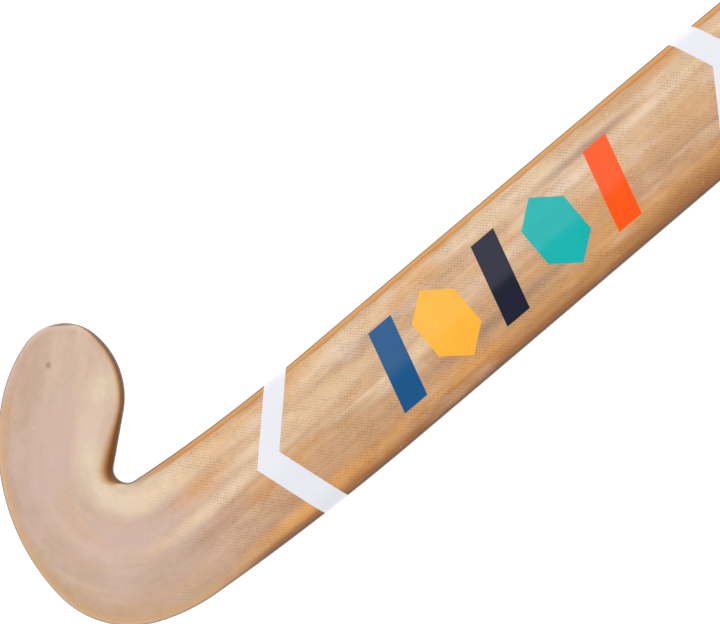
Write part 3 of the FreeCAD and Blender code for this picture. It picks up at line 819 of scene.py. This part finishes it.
def moulded_plastic():
    """The cap: spark-eroded mould grain with rubbed high spots."""
    shader = Shader("moulded_plastic")
    x, round_it, radius = shader.parts("wrap")
    sparked = shader.vector(shader.times(x, 2.2), shader.times(round_it, 2.2), radius)
    grain = shader.noise(sparked, 1.0, 4.0, 0.7)
    broad = shader.vector(shader.times(x, 0.15), shader.times(round_it, 0.15), shader.times(radius, 0.15))
    rubbed = shader.noise(broad, 1.0, 4.0)
    share = shader.span(rubbed, 0.45, 0.75, 0.0, 0.5)
    colour = shader.mix(share, linear((30, 31, 36)), linear((70, 72, 78)))
    return shader.finish(colour, shader.span(rubbed, 0.3, 0.7, 0.62, 0.4), shader.bump(grain, 0.00012))


# ---- the object ----

def dress(node, material):
    mesh = frame["nodes"][node].data
    mesh.materials.clear()
    mesh.materials.append(material)


def place(piece, slot, material, *nodes):
    piece.data.materials.append(material)
    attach(piece, "root")
    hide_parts(*nodes)


def build_object():
    place(build_skin(), "lacquered_weave", lacquered_weave(), "glass_sleeve")
    place(build_grip(), "grip", grip_compound(), "grip_tape")
    place(build_finishing_tape(), "tape", smooth_tape(), "finishing_tape")
    place(build_cap(), "cap", moulded_plastic(), "butt_cap")

    white = printed("white_print", (232, 233, 240), (228, 229, 236))
    for band in ("lower_band", "upper_band"):
        dress(band, white)
    inks = {
        "mark_blue": ((0, 84, 138), (0, 78, 130)),
        "mark_amber": ((252, 184, 58), (250, 176, 48)),
        "mark_navy": ((16, 20, 46), (13, 16, 40)),
        "mark_teal": ((0, 180, 175), (0, 172, 168)),
        "mark_orange": ((254, 86, 0), (250, 78, 0)),
    }
    for mark, (colour, worn) in inks.items():
        dress(mark, printed(mark + "_print", colour, worn))

    pale = sawn_wood("pale_ply", (232, 206, 160), (206, 168, 118))
    honey = sawn_wood("honey_ply", (212, 168, 112), (178, 126, 76))
    brown = sawn_wood("brown_ply", (176, 124, 76), (130, 82, 46))
    for k in range(1, 8):
        dress("blank_ply_%d" % k, brown if k == 7 else (pale, honey)[(k + 1) % 2])
    cane = sawn_wood("cane", (222, 192, 132), (190, 150, 92))
    for stave in ("toe_side", "middle", "heel_side"):
        dress("handle_stave_" + stave, cane)
    rubber = soft_compound("strip_rubber", (26, 26, 26), 2.5)
    for strip in ("toe_side", "heel_side"):
        dress("rubber_strip_" + strip, rubber)
    dress("grip_underlay", soft_compound("foam_tape", (140, 140, 142), 1.2))


# ---- floor, light and camera ----

def build_floor():
    rows = [[(x, y, 0.0) for x in (-40, -4, 4, 40)] for y in (-40, -4, 4, 40)]
    floor = grid_mesh("floor", rows)
    shader = Shader("floor_paper")
    grain = shader.noise(stretched(shader, (0.01, 0.01, 0.01)), 1.0, 2.0)
    colour = shader.mix(grain, linear((244, 244, 244)), linear((248, 248, 248)))
    shader.finish(colour, 0.9, Specular_IOR_Level=0.0, Emission_Color=(1, 1, 1, 1), Emission_Strength=0.55)
    floor.data.materials.append(shader.material)


def facing():
    """The directions up the shaft, towards the toe and away from the face, and the face's origin."""
    start = to_row(HEAD_START, 0, 0)
    up_shaft = (to_row(HEAD_START + 1, 0, 0) - start).normalized()
    away = (to_row(HEAD_START, 0, 1) - start).normalized()
    return up_shaft, Vector((0, 1, 0)), away, start - up_shaft * HEAD_START / 1000


def aim(holder, right, up, back, at):
    """Sets an object at a point in metres, looking along minus back."""
    holder.matrix_world = Matrix.Translation(at) @ Matrix((right, up, back)).transposed().to_4x4()
    bpy.context.scene.collection.objects.link(holder)


def softbox(name, low, high, height, radiance):
    """A panel parallel to the playing face, from corner low to corner high (X, Y mm), facing it."""
    up_shaft, toeward, away, origin = facing()
    size = [(high[k] - low[k]) / 1000 for k in range(2)]
    centre = [(high[k] + low[k]) / 2000 for k in range(2)]
    lamp = bpy.data.lights.new(name, "AREA")
    lamp.shape = "RECTANGLE"
    lamp.size, lamp.size_y = size
    lamp.energy = radiance * math.pi * size[0] * size[1]
    holder = bpy.data.objects.new(name, lamp)
    holder.visible_camera = False
    at = origin + up_shaft * centre[0] + toeward * centre[1] + away * height / 1000
    aim(holder, up_shaft, toeward, away, at)


def build_light():
    """A pale room, and one large softbox whose reflection ends along the middle of the shaft."""
    world = bpy.data.worlds.new("studio")
    world.use_nodes = True
    world.node_tree.nodes["Background"].inputs["Color"].default_value = (1.0, 1.0, 1.0, 1.0)
    world.node_tree.nodes["Background"].inputs["Strength"].default_value = 0.70
    bpy.context.scene.world = world
    softbox("main_panel", low=(-900, -36), high=(1300, 1000), height=1500, radiance=1.7)


def build_camera():
    """Square to the face, and turned so that the shaft rises to the right."""
    up_shaft, toeward, away, origin = facing()
    x, y = PICTURE_MIDDLE
    turn = math.radians(PICTURE_TURN)
    right = up_shaft * math.cos(turn) - toeward * math.sin(turn)
    up = up_shaft * math.sin(turn) + toeward * math.cos(turn)
    data = bpy.data.cameras.new("camera")
    data.lens, data.sensor_width = LENS, SENSOR
    data.clip_start, data.clip_end = 0.05, 100
    camera = bpy.data.objects.new("camera", data)
    distance = (PICTURE_WIDTH * LENS / SENSOR - FACE_DROP) / 1000
    target = origin + up_shaft * bow(x, 0, 0).x / 1000 + toeward * y / 1000
    aim(camera, right, up, away, target + away * distance)
    bpy.context.scene.camera = camera


build_object()
build_floor()
build_light()
build_camera()
bpy.context.scene.view_settings.view_transform = "Standard"
